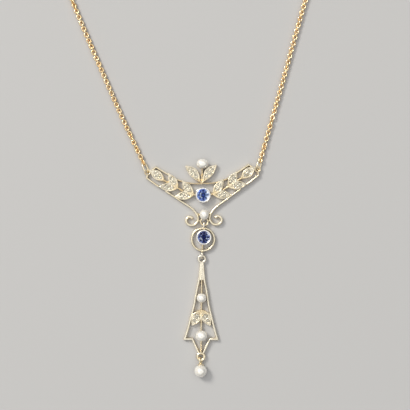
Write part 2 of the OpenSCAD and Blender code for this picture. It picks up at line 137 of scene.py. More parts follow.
# Circle drop
CIRCLE_D = 6.15
CIRCLE_W = 0.5
CIRCLE_COLLET_AT = (0.18, 0.56)
CIRCLE_LOOPS_Y = (3.58, -3.95)
LOOP_L = 1.96
LOOP_W = 1.68
SOLDER_BALL_Y = -3.35
SOLDER_BALL_D = 0.6
PEG_H = 1.0
UPPER_PEG_W = 0.7
LOWER_PEG_W = 0.34
PEG_IN_COLLET = 0.1
PEG_IN_RING = 0.2

# Long drop, right side
DROP_RAIL = [
    (0.26, -0.9), (0.42, -3), (0.7, -5.35), (1.12, -7.4), (1.48, -9.4), (1.8, -11.4), (2.3, -13.5),
    (2.9, -15.9), (3.48, -18.1), (4.08, -20.05),
]
DROP_FOOT = [(2.2, -20), (0.58, -23.5)]
DROP_RAIL_W = 0.5
DROP_STEM = [(0, -5), (0, -23.5)]
DROP_STEM_W = 0.38
WEB = [(0, -0.9), (0, -5.2)]
WEB_W = (0.5, 1.3)
WEB_H = 1.1
LONG_DROP_L = 24.4
TOP_RING_D = 2.2
TOP_RING_WIRE = 0.52
FOOT_RING_D = 2.4
FOOT_RING_WIRE = 0.66

# Pearls: node, width, length and thickness, place on its part
PANEL_PEARLS = {
    "crown_pearl": ((3, 2.5, 2.4), (0.05, 7.8)),
    "panel_pearl": ((2.4, 2.7, 2.4), (0.14, -4.85)),
}
DROP_PEARLS = {
    "upper_drop_pearl": ((2.45, 2.45, 2.4), (0, -9.7)),
    "lower_drop_pearl": ((3, 2.75, 2.5), (0.08, -19.13)),
}
PEARL_BORE_R = 0.24
PEARL_SEEDS = {
    "crown_pearl": 11, "panel_pearl": 4, "upper_drop_pearl": 16, "lower_drop_pearl": 8, "end_pearl": 5,
}
# Unevenness of a pearl: lowest and highest share of its size, and how closely the waves stand
LUMPS = (0.001, 0.0045)
LUMP_WAVES = (1.5, 2.0, 2.5, 3.5, 5.0)
PEARL_SHARE = 0.992  # of its full size, before the lumps

# End drop
END_LOOP_AT = (-0.62, -41.28)
END_LOOP_R = 0.74
END_LEAN = 15.4
END_LOOP_TURN = 65
END_PEARL_ALONG = 2.68
END_PEARL_D = 3.15
END_PEG_L = 1

# Jump rings: middle, direction, length, width
JUMP_RINGS = {
    "left_jump_ring": ((-14.46, 6.83), 113, 2.9, 1.95),
    "right_jump_ring": ((13.96, 7.5), 74, 2.62, 2),
}
JUMP_LEAN = 52

# Clasp
CLASP_AT = (-1, 172)
CLASP_R = 2.2
CLASP_WIRE = 0.85
CLASP_Z = 0.7
CLASP_LIFT = 7
CLASP_EYE_R = 0.42
CLASP_EYE_WIRE = 0.3
CLASP_EYE_UP = 0.26
CLASP_TAB_L = 1.1
CLASP_TAB_D = 0.6
CLASP_COLLARS = (62, 118, 142, 218)
CLASP_COLLAR_WIRE = 0.09
CLASP_RING_R = 0.95
CLASP_GAP = 0.14
CLASP_RING_LEAN = 55
CLASP_RING_Z = 0.97

# Chain: height, routes between the first and the last link, size of a link, distance from link to link
CHAIN_Z = 0.67
LEFT_ROUTE = [
    (-15.01, 8.115), (-20.2, 19.2), (-24.4, 28.8), (-28.7, 38.8), (-32.8, 48.7), (-37.5, 61), (-43, 77),
    (-47.5, 94), (-49.5, 112), (-48, 130), (-42, 147), (-32, 160), (-19, 168.8), (-4.62, 172),
]
RIGHT_ROUTE = [
    (14.308, 8.708), (16.8, 17.5), (19.5, 27), (22.4, 37.5), (25.6, 48.8), (29.6, 62), (34.6, 78), (39.3, 95),
    (41.5, 112), (40.5, 130), (35.5, 146.5), (26.5, 160), (15, 168.6), (2.55, 172),
]
LINK_L = 1.51
LINK_W = 1.29
LINK_T = 0.34
LINK_PITCH = 0.797
LINK_SQUARE = 0.88  # 1 is an ellipse, less is nearer to a rectangle

# First and last link: height of its middle, and how many links it takes to come to the others' height
LEFT_ENDS = ((0.85, 2), (0.59, 1))
RIGHT_ENDS = ((0.85, 2), (0.97, 3))

# How the chains lie turned: link number and roll in degrees; at 0 the even links lie flat
LEFT_TWISTS = [
    (0, -38), (3, 0), (6, 90), (7, 90), (11, 186), (50, 186), (56, 225), (70, 235), (90, 360), (130, 400),
    (170, 330), (200, 360), (243, 450),
]
RIGHT_TWISTS = [
    (0, -38), (3, 0), (6, 90), (11, 90), (15, 186), (52, 186), (60, 200), (85, 300), (120, 270), (160, 380),
    (200, 400), (233, 485),
]

IDENTITY = np.eye(4)
MIRROR = np.diag([-1.0, 1, 1, 1])


def shift(x, y, z=0.0):
    m = np.eye(4)
    m[:3, 3] = (x, y, z)
    return m


def turn(axis, degrees):
    """A turn about one axis."""
    c, s = math.cos(math.radians(degrees)), math.sin(math.radians(degrees))
    i, j = {"x": (1, 2), "y": (2, 0), "z": (0, 1)}[axis]
    m = np.eye(4)
    m[i, i], m[i, j], m[j, i], m[j, j] = c, -s, s, c
    return m


ON_PANEL = turn("z", PANEL_TURN)
ON_CIRCLE = shift(*CIRCLE_AT) @ turn("z", CIRCLE_TURN)
ON_DROP = shift(*LONG_AT) @ turn("z", LONG_TURN)
ON_END = shift(*END_LOOP_AT, LINK_Z) @ turn("z", LONG_TURN) @ turn("x", -END_LEAN)
SIDES = (IDENTITY, MIRROR)


class Piece:
    """One piece in the making: corners in millimetres, faces, and two shares for each corner.

    warm runs from -1, bright silver-white, over 0, cream-white, to 1, yellow gold. The second share is how
    far the metal is painted a darkened, speckled ground: painted shade where it lies sunk, between or under
    other parts."""

    def __init__(self):
        self.places, self.faces, self.warm, self.shade_and_matt = [], [], [], []
        self.count = 0

    def add(self, places, faces, move=IDENTITY, warm=0.0, shade_and_matt=0.0):
        places = np.asarray(places, float)
        self.places.append(places @ move[:3, :3].T + move[:3, 3])
        order = -1 if np.linalg.det(move[:3, :3]) < 0 else 1
        self.faces += [tuple(int(k) + self.count for k in face[::order]) for face in faces]
        self.warm.append(np.broadcast_to(warm, len(places)))
        self.shade_and_matt.append(np.broadcast_to(shade_and_matt, len(places)))
        self.count += len(places)

    def finish(self, name, material, node, crease=38):
        """Makes the object, which replaces a node and rides on the one body, with the given material in its
        slot.
        """
        mesh = bpy.data.meshes.new(name)
        mesh.from_pydata((np.concatenate(self.places) * MM).tolist(), [], self.faces)
        for label, values in (("warm", self.warm), ("shade_and_matt", self.shade_and_matt)):
            layer = mesh.attributes.new(label, "FLOAT", "POINT")
            layer.data.foreach_set("value", np.concatenate(values).astype(np.float32))
        mesh.validate()
        mesh.shade_smooth()
        mesh.set_sharp_from_angle(angle=math.radians(crease))
        mesh.materials.append(material)
        piece = bpy.data.objects.new(name, mesh)
        bpy.context.scene.collection.objects.link(piece)
        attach(piece, "root")
        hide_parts(node)


# Geometry


def unit(v):
    return v / np.linalg.norm(v)


def left_of(v):
    return np.stack([-v[..., 1], v[..., 0]], -1)


def spline(points, steps):
    """Catmull-Rom curve through points, the same as the construction's."""
    p = np.asarray(points, float)
    n = len(p) - 1
    out = []
    for i in range(n):
        a, b, c, d = p[max(i - 1, 0)], p[i], p[i + 1], p[min(i + 2, n)]
        for k in range(steps):
            t = k / steps
            second, third = 2 * a - 5 * b + 4 * c - d, 3 * b - a - 3 * c + d
            out.append(0.5 * (2 * b + (c - a) * t + second * t**2 + third * t**3))
    out.append(p[n])
    return np.array(out)


def sideways(path):
    """The mitred step to the left at each point of a path, for a ribbon of half width 1."""
    d = np.diff(path, axis=0)
    d /= np.linalg.norm(d, axis=1)[:, None]
    before, after = np.vstack([d[:1], d]), np.vstack([d, d[-1:]])
    a, b = left_of(before), left_of(after)
    m = a + b
    m /= np.linalg.norm(m, axis=1)[:, None]
    return m / np.sum(m * b, axis=1)[:, None]


def strips(rows, columns, closed_rows=False):
    """Quads between rows of corners, each of which closes on itself."""
    faces = []
    for i in range(rows if closed_rows else rows - 1):
        for k in range(columns):
            i2, k2 = (i + 1) % rows, (k + 1) % columns
            faces.append((i * columns + k, i * columns + k2, i2 * columns + k2, i2 * columns + k))
    return faces


def end_faces(rows, columns):
    """The two faces that close a tube of rows of corners at its ends."""
    return [tuple(range(columns)), tuple((rows - 1) * columns + k for k in reversed(range(columns)))]


def angles(steps):
    """Equal steps once round a circle."""
    return np.arange(steps) * 2 * math.pi / steps


def unit_circle(steps):
    a = angles(steps)
    return np.stack([np.cos(a), np.sin(a)], 1)


# Makers of metal forms

# Half width and height shares of a rail's cross-section, from its left foot over its rounded top
RAIL_SECTION = np.array([
    (0.9, 0.0), (1.0, 0.07), (1.0, 0.68), (0.95, 0.82), (0.8, 0.93), (0.52, 0.985), (0.0, 1.0),
    (-0.52, 0.985), (-0.8, 0.93), (-0.95, 0.82), (-1.0, 0.68), (-1.0, 0.07), (-0.9, 0.0),
])


def rail(piece, path, width, height, move=IDENTITY, warm=0.0, shade_and_matt=0.0):
    """A flat-backed rail with a rounded top along a path; width and height are one number, or one a point."""
    path = np.asarray(path, float)
    widths, heights = np.broadcast_to(width, len(path)), np.broadcast_to(height, len(path))
    step = sideways(path) * widths[:, None] / 2
    columns = len(RAIL_SECTION)
    places = np.zeros((len(path), columns, 3))
    places[:, :, :2] = path[:, None] + step[:, None] * RAIL_SECTION[None, :, :1]
    places[:, :, 2] = RAIL_SECTION[:, 1] * heights[:, None]
    faces = [face[::-1] for face in strips(len(path), columns)]
    faces += end_faces(len(path), columns)
    piece.add(places.reshape(-1, 3), faces, move, warm, shade_and_matt)


def stem_under_pearls(piece, ends, steps, width, pearls, move, warm):
    """A straight rail that gets lower where it passes under a pearl."""
    path = np.linspace(*ends, steps)
    height = np.full(steps, RAIL_H)
    for size, at in pearls.values():
        away = np.linalg.norm((path - at) / (np.array(size[:2]) / 2), axis=1)
        underside = CUP_H + size[2] / 2 * (1 - np.sqrt(np.clip(1 - away**2, 0, 1)))
        height = np.minimum(height, np.where(away < 1, underside - SEAT_GAP, RAIL_H))
    rail(piece, path, width, height, move, warm)


def wire(piece, path, radius, move=IDENTITY, closed=True, sides=12, warm=0.0):
    """A round wire along a path that lies in one plane of its own."""
    path = np.asarray(path, float)
    if closed:
        along = np.roll(path, -1, 0) - np.roll(path, 1, 0)
    else:
        along = np.gradient(path, axis=0)
    along /= np.linalg.norm(along, axis=1)[:, None]
    third = len(path) // 3
    normal = unit(np.cross(path[third] - path[0], path[2 * third] - path[0]))
    out = np.cross(along, normal)
    a = angles(sides)
    places = (
        path[:, None]
        + radius * np.cos(a)[None, :, None] * out[:, None]
        + radius * np.sin(a)[None, :, None] * normal
    )
    faces = [face[::-1] for face in strips(len(path), sides, closed_rows=closed)]
    if not closed:
        faces += end_faces(len(path), sides)
    piece.add(places.reshape(-1, 3), faces, move, warm)


def arc(radius, start=0.0, end=360.0, steps=48):
    """Points on a circle round the origin, in the XY plane; a full circle's end point is left out."""
    a = np.radians(np.linspace(start, end, steps, endpoint=end - start < 360))
    return np.stack([radius * np.cos(a), radius * np.sin(a), 0 * a], 1)


def ring(piece, radius, thickness, move=IDENTITY, steps=48, sides=14, warm=0.0):
    wire(piece, arc(radius, steps=steps), thickness / 2, move, sides=sides, warm=warm)


def long_ring_path(length, width, thickness, steps=18):
    """Middle line of a ring with straight sides along X and round ends, from its outer sizes."""
    r, half = (width - thickness) / 2, (length - width) / 2
    a = np.radians(np.linspace(-90, 90, steps))
    end = np.stack([half + r * np.cos(a), r * np.sin(a), 0 * a], 1)
    return np.concatenate([end, end * (-1, -1, 1)])


def lathe(piece, profile, move=IDENTITY, steps=64, warm=0.0):
    """A turned form: distance from the axis and height, from the bottom's middle outwards and up."""
    places, rows = [], []
    for r, z in np.asarray(profile, float):
        if r == 0:
            rows.append([len(places)] * steps)
            places.append((0, 0, z))
        else:
            rows.append([len(places) + k for k in range(steps)])
            places += [(r * math.cos(t), r * math.sin(t), z) for t in angles(steps)]
    faces = []
    for low, high in zip(rows, rows[1:]):
        for k in range(steps):
            j = (k + 1) % steps
            corners = [low[k], low[j], high[j], high[k]]
            corners = [c for n, c in enumerate(corners) if c not in corners[:n]]
            if len(corners) > 2:
                faces.append(tuple(corners))
    piece.add(places, faces, move, warm)


# A ball's profile for a radius of 1
BEAD = [(0, -1)]
BEAD += [(math.sin(math.radians(a)), -math.cos(math.radians(a))) for a in range(30, 180, 30)]
BEAD += [(0, 1)]


def bead(piece, at, radius, move=IDENTITY, steps=10):
    lathe(piece, [(radius * r, radius * z) for r, z in BEAD], move @ shift(*at), steps)


def rail_end(piece, at, width, height, move):
    """The round end of a rail, turned from the rail's own cross-section."""
    half = [(share * width / 2, level * height) for share, level in RAIL_SECTION if share >= 0]
    lathe(piece, [(0, 0)] + half, move @ shift(*at), 28)


# Leaves


def swell(t, peak):
    """A leaf's half width along its length, as a share of the greatest, which is reached at peak."""
    return np.sin(np.pi * t ** (math.log(0.5) / math.log(peak)))


def leaf_edge(base, tip, bulge, peak, t):
    """Points beside a leaf's middle line, which bulge to the left of it."""
    along = tip - base
    return base + along * t[:, None] + left_of(unit(along)) * (bulge * swell(t, peak))[:, None]


def leaf_outline(leaf, base_in, tip_in, rim):
    """Outline of a leaf drawn in at its base, tip and sides, counterclockwise."""
    base, tip = np.array(leaf[0], float), np.array(leaf[1], float)
    along = unit(tip - base)
    base, tip = base + along * base_in, tip - along * tip_in
    t = np.arange(LEAF_STEPS + 1) / LEAF_STEPS
    left = leaf_edge(base, tip, leaf[2][0] - rim, leaf[3], t)
    right = leaf_edge(base, tip, rim - leaf[2][1], leaf[3], t)
    return np.concatenate([left, right[-2:0:-1]])[::-1]


def stones_of(leaf):
    """Place and diameter of each stone of a leaf."""
    base, tip = np.array(leaf[0], float), np.array(leaf[1], float)
    shares, diameters = zip(*STONE_ROWS[leaf[4]])
    middle = (leaf[2][0] - leaf[2][1]) / 2
    return list(zip(leaf_edge(base, tip, middle, leaf[3], np.array(shares)), diameters))


def inside(points, outline):
    """Which points are inside an outline."""
    x, y = points[:, 0][:, None], points[:, 1][:, None]
    a, b = outline, np.roll(outline, -1, 0)
    crosses = (a[:, 1] > y) != (b[:, 1] > y)
    with np.errstate(divide="ignore", invalid="ignore"):
        at = a[:, 0] + (y - a[:, 1]) * (b[:, 0] - a[:, 0]) / (b[:, 1] - a[:, 1])
    return np.sum(crosses & (x < at), axis=1) % 2 == 1


# Insets of a leaf's rings at base, tip and sides, and their heights below its top
LEAF_RINGS = [
    (0.0, 0.0, 0.0, 0.16),
    (0.02, 0.03, 0.015, 0.08),
    (0.07, 0.09, 0.05, 0.02),
    (0.16, 0.16, 0.09, 0.0),
    (0.7, 0.4, LEAF_RIM - 0.05, 0.01),
    (0.82, 0.45, LEAF_RIM - 0.01, 0.05),
    (FIELD_BASE_IN, FIELD_TIP_IN, LEAF_RIM + 0.02, LEAF_SINK),
]
LEAF_FOOT = (0.05, 0.05, 0.04)
LEAF_FOOT_H = 0.08

# Sunk ground: a grid of points with uneven heights, kept to a share of the outline and clear of the stones
FIELD_STEP = 0.17
FIELD_UNEVEN = 0.05
FIELD_SHARE = 0.9
FIELD_CLEAR = 0.1
# Painted shade: how far the sunk ground is coloured as darkened, speckled ground
FIELD_SHADE_AND_MATT = 0.2
TRIANGLES_INSIDE = 1
MERGE = 1e-6

# Seats: how far the mouth and the wall stand off the stone, and the bevel between them
SEAT_STEPS = 20
SEAT_MOUTH = 0.045
SEAT_WALL = 0.02
SEAT_BEVEL = 0.03
SEAT_HOLE = 0.015  # triangles whose middle is nearer to the stone than this are left out
SEAT_WARM = -0.3

# Grains that hold the stones: directions from the leaf's own, distance off the stone, height, radii
GRAIN_ANGLES = (42, 138, 222, 318)
GRAIN_OUT = 0.055
GRAIN_Z = DIAMOND_Z + 0.07
GRAIN_R = {SMALL: 0.085, LARGE: 0.105}

# How far from a leaf's base its metal is yellowish, over how much of that it fades, and warm at tip and base
GOLD_REACH = 2.3
GOLD_FADE = 1.7
TIP_WARM = -0.15
BASE_WARM = 0.6


def leaf_warm(places, base):
    """Yellow at a leaf's base, where the gold shows, and cream-white further on."""
    far = np.linalg.norm(places[:, :2] - base, axis=1)
    return np.clip((GOLD_REACH - far) / GOLD_FADE, 0, 1) * (BASE_WARM - TIP_WARM) + TIP_WARM


def leaf_field(piece, leaf, outline, move):
    """The sunk ground of a leaf, with a seat cut in it for each stone."""
    z_field = LEAF_H - LEAF_SINK
    points, heights, edges = [], [], []

    def loop(places, z):
        first, n = len(points), len(places)
        points.extend(places)
        heights.extend([z] * n)
        edges.extend((first + k, first + (k + 1) % n) for k in range(n))

    loop(outline, z_field)
    round_seat = unit_circle(SEAT_STEPS)
    stones = stones_of(leaf)
    for place, d in stones:
        loop(place + round_seat * (d / 2 + SEAT_MOUTH), z_field)
        loop(place + round_seat * (d / 2 + SEAT_WALL), z_field - SEAT_BEVEL)

    random = np.random.default_rng(len(piece.faces))
    low, high = outline.min(0), outline.max(0)
    grid = np.stack(np.meshgrid(*[np.arange(low[i], high[i], FIELD_STEP) for i in (0, 1)]), -1).reshape(-1, 2)
    middle = outline.mean(0)
    free = inside(grid, middle + (outline - middle) * FIELD_SHARE)
    for place, d in stones:
        free &= np.linalg.norm(grid - place, axis=1) > d / 2 + FIELD_CLEAR
    for place in grid[free]:
        points.append(place)
        heights.append(z_field + random.uniform(0, FIELD_UNEVEN))

    flat_points = [Vector(p) for p in points]
    placed, _, faces, source, _, _ = delaunay_2d_cdt(flat_points, edges, [], TRIANGLES_INSIDE, MERGE, True)
    flat = np.array([(p.x, p.y) for p in placed])
    places = np.column_stack([flat, [heights[ids[0]] if ids else z_field for ids in source]])
    kept = []
    for face in faces:
        corners = flat[list(face)]
        centre = corners.mean(0)
        if any(np.linalg.norm(centre - place) < d / 2 + SEAT_HOLE for place, d in stones):
            continue
        (ax, ay), (bx, by), (cx, cy) = corners[:3]
        turned = (bx - ax) * (cy - ay) - (by - ay) * (cx - ax) < 0
        kept.append(tuple(face[::-1]) if turned else tuple(face))
    piece.add(places, kept, move, leaf_warm(places, np.array(leaf[0])), FIELD_SHADE_AND_MATT)

    for place, d in stones:
        r = d / 2
        seat = [
            (0, DIAMOND_Z - 0.98 * r), (0.2 * r, DIAMOND_Z - 0.95 * r), (0.98 * r, DIAMOND_Z - 0.12 * r),
            (r + SEAT_WALL, DIAMOND_Z - 0.05), (r + SEAT_WALL, z_field - SEAT_BEVEL),
        ]
        lathe(piece, seat, move @ shift(*place), SEAT_STEPS, SEAT_WARM)


def leaf(piece, row, move):
    """A leaf setting: wall, rounded rim, bright-cut edge, sunk ground and the grains that hold its stones."""
    base, tip = np.array(row[0], float), np.array(row[1], float)
    rings = [leaf_outline(row, *insets) for *insets, _ in LEAF_RINGS]
    outlines = [leaf_outline(row, *LEAF_FOOT), leaf_outline(row, 0.0, 0.0, 0.0)] + rings
    levels = [0.0, LEAF_FOOT_H] + [LEAF_H - down for *_, down in LEAF_RINGS]
    n = len(rings[0])
    places = np.concatenate([np.column_stack([o, np.full(n, z)]) for o, z in zip(outlines, levels)])
    faces = strips(len(outlines), n) + [tuple(reversed(range(n)))]
    piece.add(places, faces, move, leaf_warm(places, base))
    leaf_field(piece, row, rings[-1], move)
    heading = math.degrees(math.atan2(*(tip - base)[::-1]))
    for place, d in stones_of(row):
        for angle in GRAIN_ANGLES:
            t = math.radians(heading + angle)
            at = place + (d / 2 + GRAIN_OUT) * np.array([math.cos(t), math.sin(t)])
            bead(piece, (*at, GRAIN_Z), GRAIN_R[d], move)


# Settings


def collet(piece, move):
    """A closed cup with a bearing for the stone and a bright rounded rim over its edge."""
    wall, stone, top = COLLET_D / 2, SAPPHIRE_D / 2, COLLET_H
    seat = stone + SEAT_GAP
    profile = [
        (0, 0), (wall - 0.2, 0), (wall - 0.1, 0.04), (wall - 0.02, 0.2), (wall, 0.34), (wall - 0.03, 0.8),
        (wall - 0.04, 1.2), (wall, 1.45), (wall, top - 0.22), (wall - 0.03, top - 0.11),
        (wall - 0.09, top - 0.03), (wall - 0.17, top), (wall - 0.28, top), (wall - 0.36, top - 0.03),
        (stone - 0.06, top - 0.08), (stone - 0.08, top - 0.13), (stone - 0.05, top - 0.17),
        (seat, top - 0.24), (seat, SAPPHIRE_Z - 0.1), (stone - 0.25, SAPPHIRE_Z - 0.4), (stone - 0.25, 0.3),
        (stone - 0.4, 0.14), (0, 0.14),
    ]
    lathe(piece, profile, move, 96, warm=-1.0)


def pearl_seat(piece, at, size, move):
    """A shallow cup under a pearl, with a peg that goes up into its drill hole."""
    peg_top = CUP_H + size[2] / 2 - 0.1
    profile = [
        (0, 0), (0.62, 0), (0.72, 0.05), (0.85, 0.28), (0.9, 0.5), (0.86, 0.53), (0.6, 0.37), (0.2, CUP_H),
        (0.2, peg_top), (0, peg_top),
    ]
    lathe(piece, profile, move @ shift(*at), 40)


def upright_loop(piece, y, move):
    """A loop on edge, over the middle line of the circle drop."""
    move = move @ shift(0, y, LINK_Z) @ turn("z", 90) @ turn("x", 90)
    wire(piece, long_ring_path(LOOP_L, LOOP_W, LOOP_WIRE), LOOP_WIRE / 2, move, sides=14, warm=-0.4)


# Materials


def shader(name):
    """A new material with its node tree and its Principled shader."""
    material = bpy.data.materials.new(name)
    material.use_nodes = True
    tree = material.node_tree
    return material, tree, tree.nodes["Principled BSDF"]


def node(tree, kind, settings=None, **inputs):
    """A new shader node; inputs are values or sockets to link, by the name of the node's own socket."""
    n = tree.nodes.new("ShaderNode" + kind)
    for key, value in (settings or {}).items():
        setattr(n, key, value)
    for key, value in inputs.items():
        put(tree, n.inputs[key], value)
    return n


def put(tree, socket, value):
    """Links a socket into another, or gives it a value."""
    if isinstance(value, bpy.types.NodeSocket):
        tree.links.new(value, socket)
    else:
        socket.default_value = value


def rgb(*c):
    return (*c, 1.0)


# Colours of the metals
SILVER = rgb(0.93, 0.91, 0.88)
WHITE = rgb(0.95, 0.86, 0.66)
WHITE_SHADE = rgb(0.87, 0.77, 0.56)
GOLD = rgb(0.98, 0.8, 0.49)
GOLD_SHADE = rgb(0.8, 0.57, 0.27)
# Darkened ground colour: painted shade for sunk parts and parts between or under others, speckled like a
# matted finish
SHADE_AND_MATT_GROUND = rgb(0.42, 0.38, 0.31)

# Yellow golds: colour on top, its darker patches, and the deeper colour of the sides, a painted reflection of
# metal in metal; polish where smooth and where rough
CHAIN_GOLD = (rgb(1.0, 0.85, 0.57), rgb(0.97, 0.73, 0.4), rgb(1.0, 0.64, 0.2), 0.16, 0.3)
PALE_GOLD = (rgb(1.0, 0.9, 0.68), rgb(0.97, 0.83, 0.58), rgb(0.96, 0.84, 0.62), 0.28, 0.42)
# Up-facing share of the normal below which the painted side reflection is full, and above which the top
# colour is
SIDE_UP = 0.15
TOP_UP = 0.85

# Heights at which the white front fades into the gold of the back, and how uneven that line is, in metres
BACK_TO = 0.0003
FRONT_FROM = 0.00055
BACK_UNEVEN = 0.00003

# Noise scales, in waves to the metre, and depths in metres
SHADES = 700.0
GOLD_SHADES = 600.0
BACK_WAVES = 1500.0
PATCHES = 900.0
SCRATCHES = 9000.0
SPECKLE = 6000.0
SCRATCH_DEPTH = 0.00003
PEARL_PITS = 2500.0
PEARL_PIT_DEPTH = 0.00005

# Pearls
NACRE = rgb(0.95, 0.92, 0.85)
NACRE_SHADE = rgb(0.89, 0.86, 0.78)

# Stones: material, colours of the dark and light facets, painted reflections and glints, index of refraction,
# height of the girdle, and the patch where the painted facet light is dimmed in the middle and raised at the
# rim:
# its middle, half width and half height
PALE_SAPPHIRE = (
    "light_sapphire", rgb(0.18, 0.28, 0.58), rgb(0.97, 0.99, 1.0), 1.77, SAPPHIRE_Z, (0.1, 0.1, 0.75, 1.4),
)
NAVY_SAPPHIRE = (
    "dark_sapphire", rgb(0.06, 0.11, 0.34), rgb(0.97, 0.99, 1.0), 1.77, SAPPHIRE_Z, (0.1, -10.4, 0.85, 1.4),
)
DIAMOND = ("diamond", rgb(0.72, 0.69, 0.62), rgb(1.0, 0.98, 0.92), 2.42, DIAMOND_Z)
# Painted facet light: spread of normals into tones, their range, and the painted dim middle's fade and
# strengths
FACET_SPREAD = (11.0, 8.3, 5.9)
PAINTED_FACET_RANGE = 0.8
PAINTED_MIDDLE_FADE = (0.4, 1.3)
PAINTED_MIDDLE_TONES = (0.2, 2.6)


def object_noise(tree, scale, detail=3.0, roughness=0.55, stretch=(1, 1, 1)):
    """Noise fixed to the object; scale is in waves to the metre."""
    at = node(tree, "TexCoord").outputs["Object"]
    at = node(tree, "Mapping", Vector=at, Scale=stretch).outputs["Vector"]
    return node(tree, "TexNoise", Vector=at, Scale=scale, Detail=detail, Roughness=roughness).outputs["Fac"]


def ranged(tree, value, low, high, to_low, to_high, smooth=False):
    kind = {"interpolation_type": "SMOOTHSTEP"} if smooth else None
    n = node(tree, "MapRange", kind, Value=value)
    n.inputs["From Min"].default_value, n.inputs["From Max"].default_value = low, high
    n.inputs["To Min"].default_value, n.inputs["To Max"].default_value = to_low, to_high
    return n.outputs["Result"]


def blended(tree, factor, a, b):
    """Colour a where the factor is 0, and b where it is 1."""
    n = node(tree, "Mix", {"data_type": "RGBA"})
    for key, value in ((0, factor), (6, a), (7, b)):
        put(tree, n.inputs[key], value)
    return n.outputs[2]


def math_node(tree, operation, *values):
    n = node(tree, "Math", {"operation": operation})
    for socket, value in zip(n.inputs, values):
        put(tree, socket, value)
    return n.outputs[0]


def vector_node(tree, operation, a, b):
    """The one number that two vectors make."""
    n = node(tree, "VectorMath", {"operation": operation})
    put(tree, n.inputs[0], a)
    put(tree, n.inputs[1], b)
    return n.outputs["Value"]


def cloud(tree, scale):
    """Soft patches from 0 to 1."""
    return ranged(tree, object_noise(tree, scale), 0.35, 0.65, 0.0, 1.0)


def wear(tree, bsdf, smooth, rough, strength):
    """Polish that varies from place to place, and fine scratches and pits."""
    patches = object_noise(tree, PATCHES, 4.0)
    tree.links.new(ranged(tree, patches, 0.3, 0.7, smooth, rough), bsdf.inputs["Roughness"])
    scratches = object_noise(tree, SCRATCHES, 4.0, 0.6, (1.0, 0.25, 1.0))
    bump = node(tree, "Bump", Height=scratches, Strength=strength, Distance=SCRATCH_DEPTH)
    tree.links.new(bump.outputs["Normal"], bsdf.inputs["Normal"])


def white_front():
    """Cream-white metal fused on yellow gold: white in front, gold at the back and where warm says so."""
    material, tree, bsdf = shader("white_front")
    height = node(tree, "SeparateXYZ", Vector=node(tree, "TexCoord").outputs["Object"]).outputs["Z"]
    wavy = ranged(tree, object_noise(tree, BACK_WAVES), 0.3, 0.7, -BACK_UNEVEN, BACK_UNEVEN)
    back = ranged(tree, math_node(tree, "ADD", height, wavy), BACK_TO, FRONT_FROM, 1.0, 0.0, True)
    warm = node(tree, "Attribute", {"attribute_name": "warm"}).outputs["Fac"]
    shade_and_matt = node(tree, "Attribute", {"attribute_name": "shade_and_matt"}).outputs["Fac"]
    patches = cloud(tree, SHADES)
    white = blended(tree, patches, WHITE, WHITE_SHADE)
    gold = blended(tree, patches, GOLD, GOLD_SHADE)
    metal = blended(tree, math_node(tree, "MAXIMUM", back, warm), white, gold)
    metal = blended(tree, ranged(tree, warm, -1.0, 0.0, 1.0, 0.0), metal, SILVER)
    # Painted shade: where the second share says so, a darkened, speckled ground colour is laid over the metal
    speckle = ranged(tree, object_noise(tree, SPECKLE, 2.0), 0.42, 0.62, 0.0, 1.0)
    ground = math_node(tree, "MULTIPLY", shade_and_matt, speckle)
    tree.links.new(blended(tree, ground, metal, SHADE_AND_MATT_GROUND), bsdf.inputs["Base Color"])
    bsdf.inputs["Metallic"].default_value = 1.0
    wear(tree, bsdf, 0.16, 0.34, 0.12)
    return material


def yellow_gold(name, light, shade, painted_side_reflection, smooth, rough):
    """Gold whose sides are painted a deeper colour than its top: a painted reflection, as where metal mirrors
    metal.
    """
    material, tree, bsdf = shader(name)
    up = node(tree, "SeparateXYZ", Vector=node(tree, "NewGeometry").outputs["Normal"]).outputs["Z"]
    # Painted reflection: the less a face looks up, the more it takes the deeper side colour
    side = ranged(tree, up, SIDE_UP, TOP_UP, 1.0, 0.0)
    top = blended(tree, cloud(tree, GOLD_SHADES), light, shade)
    tree.links.new(blended(tree, side, top, painted_side_reflection), bsdf.inputs["Base Color"])
    bsdf.inputs["Metallic"].default_value = 1.0
    wear(tree, bsdf, smooth, rough, 0.08)
    return material


def gem(name, dark, light, ior, girdle, painted_dark_middle=None):
    """A cut stone. Each facet is painted its own brightness, a painted reflection, and those under the girdle
    are mirrors to what is inside.
    """
    material, tree, bsdf = shader(name)
    # Painted reflections and glints: each facet's brightness is set by its normal alone
    facing = node(tree, "NewGeometry").outputs["True Normal"]
    spread = vector_node(tree, "DOT_PRODUCT", facing, FACET_SPREAD)
    painted_facet_light = ranged(tree, math_node(tree, "COSINE", spread), -PAINTED_FACET_RANGE, PAINTED_FACET_RANGE, 0.0, 1.0)
    at = node(tree, "TexCoord").outputs["Object"]
    # Painted shade and light: the facet brightness is dimmed in the stone's middle and raised towards its rim
    if painted_dark_middle:
        x, y, wide, high = painted_dark_middle
        scaled = node(tree, "Mapping", Vector=at, Scale=(1 / (wide * MM), 1 / (high * MM), 0))
        away = vector_node(tree, "DISTANCE", scaled.outputs["Vector"], (x / wide, y / high, 0))
        painted_dim_middle = ranged(tree, away, *PAINTED_MIDDLE_FADE, *PAINTED_MIDDLE_TONES, True)
        painted_facet_light = math_node(tree, "MULTIPLY", painted_facet_light, painted_dim_middle)
    tree.links.new(blended(tree, painted_facet_light, dark, light), bsdf.inputs["Base Color"])
    height = node(tree, "SeparateXYZ", Vector=at).outputs["Z"]
    below = ranged(tree, height, (girdle - 0.02) * MM, (girdle - 0.01) * MM, 1.0, 0.0)
    tree.links.new(below, bsdf.inputs["Metallic"])
    bsdf.inputs["Transmission Weight"].default_value = 1.0
    bsdf.inputs["Roughness"].default_value = 0.0
    bsdf.inputs["IOR"].default_value = ior
    return material


